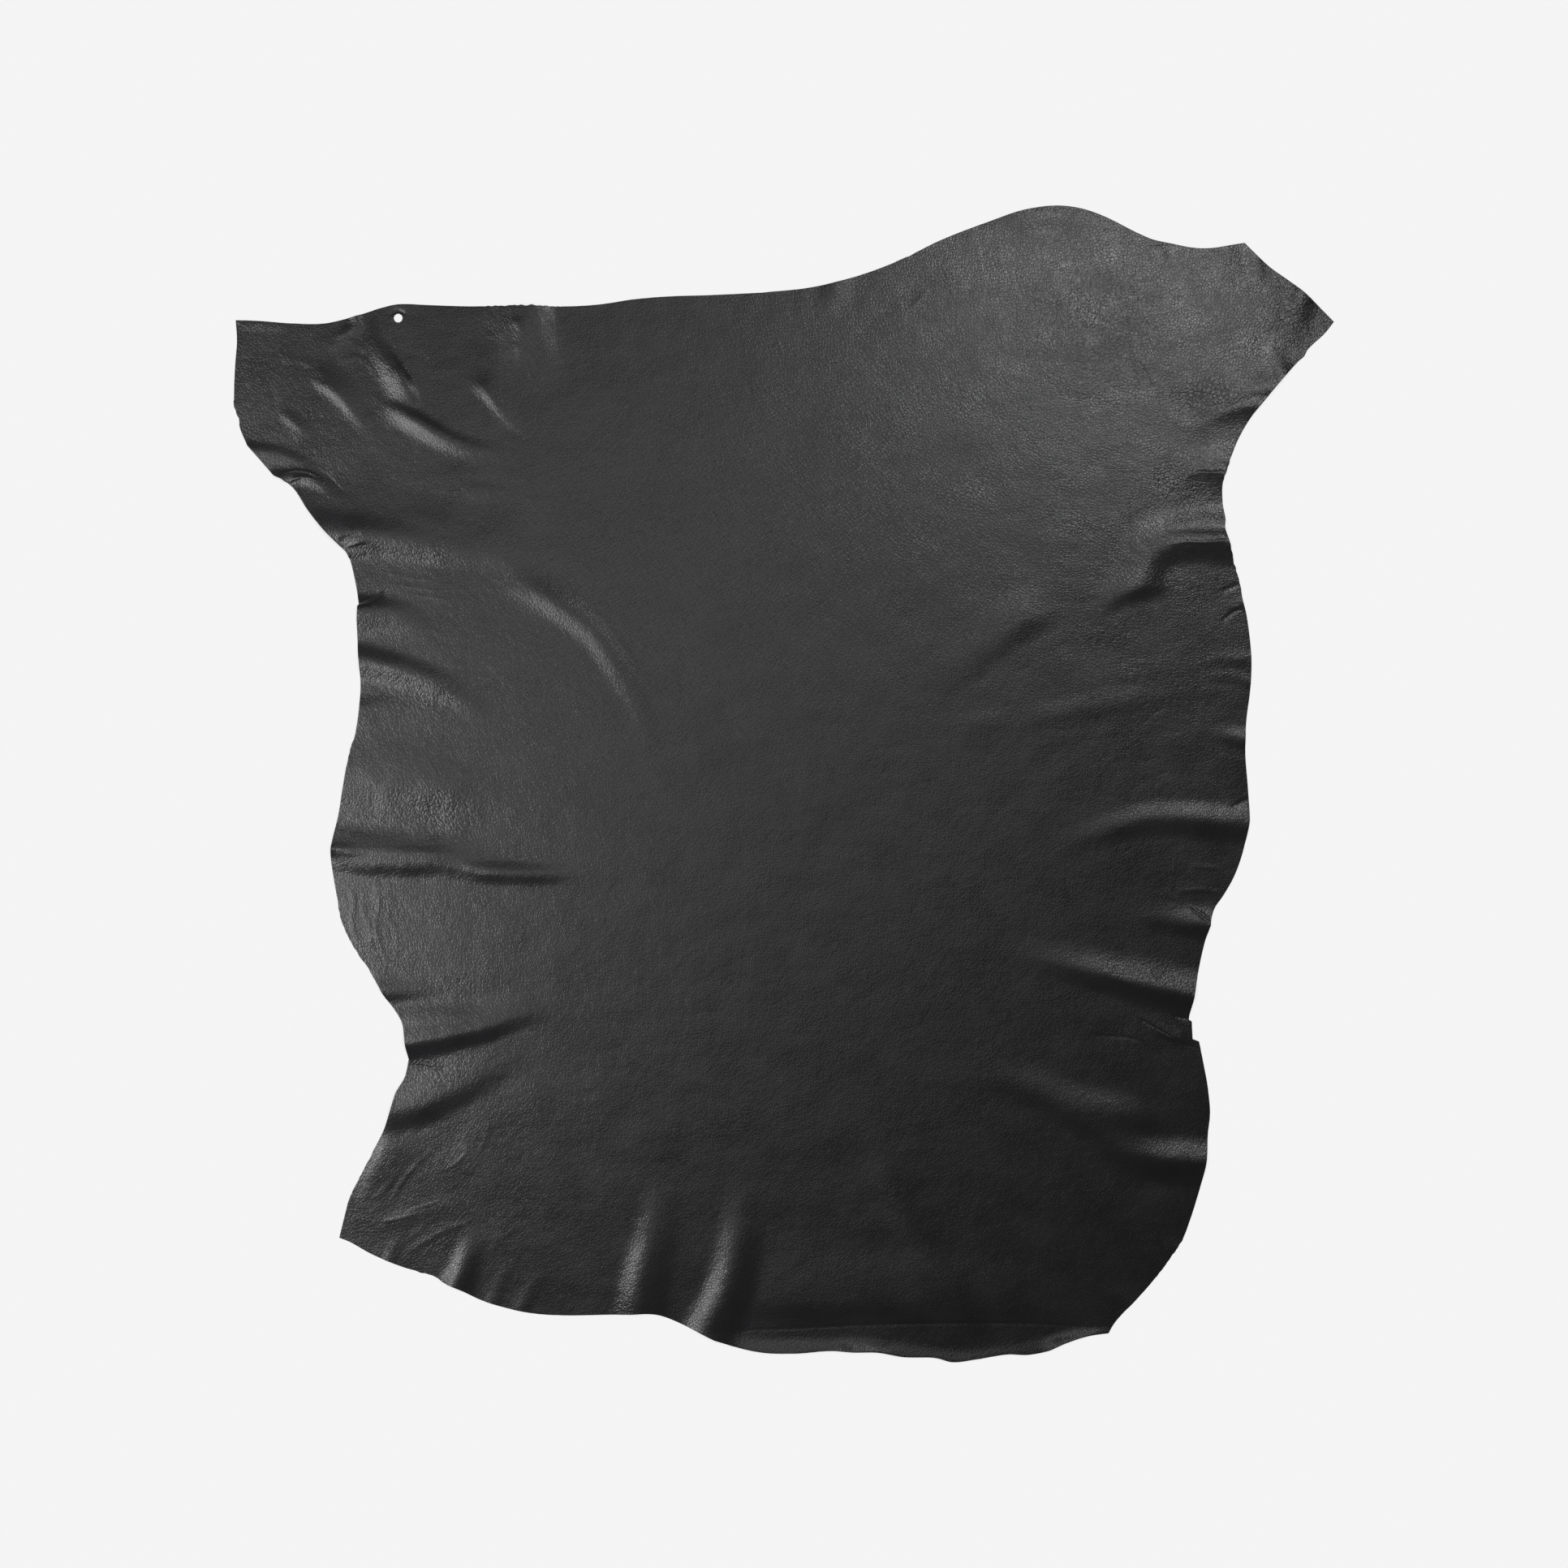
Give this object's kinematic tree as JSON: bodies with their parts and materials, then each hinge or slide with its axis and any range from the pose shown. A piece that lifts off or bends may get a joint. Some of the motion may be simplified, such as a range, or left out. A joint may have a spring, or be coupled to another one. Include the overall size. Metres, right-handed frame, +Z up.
{
  "type": "leather hide",
  "caption": "Whole leather hide laid out flat, grain side up, with the natural irregular outline, shank points and soft folds running in from its edge.",
  "frame": {"origin": "on the surface that the hide rests on, under the middle of its bounding box", "axes": "+Z up from the surface to the grain side, +Y from the belly edge to the neck edge along the longest side, +X from the left flank to the right flank as seen from above"},
  "size_m": [0.9474, 0.996, 0.0074],
  "materials": {
    "leather": "semi-gloss grain side, fine pebbled grain"
  },
  "bodies": {
    "root": {"hide": "leather"}
  },
  "joints": []
}
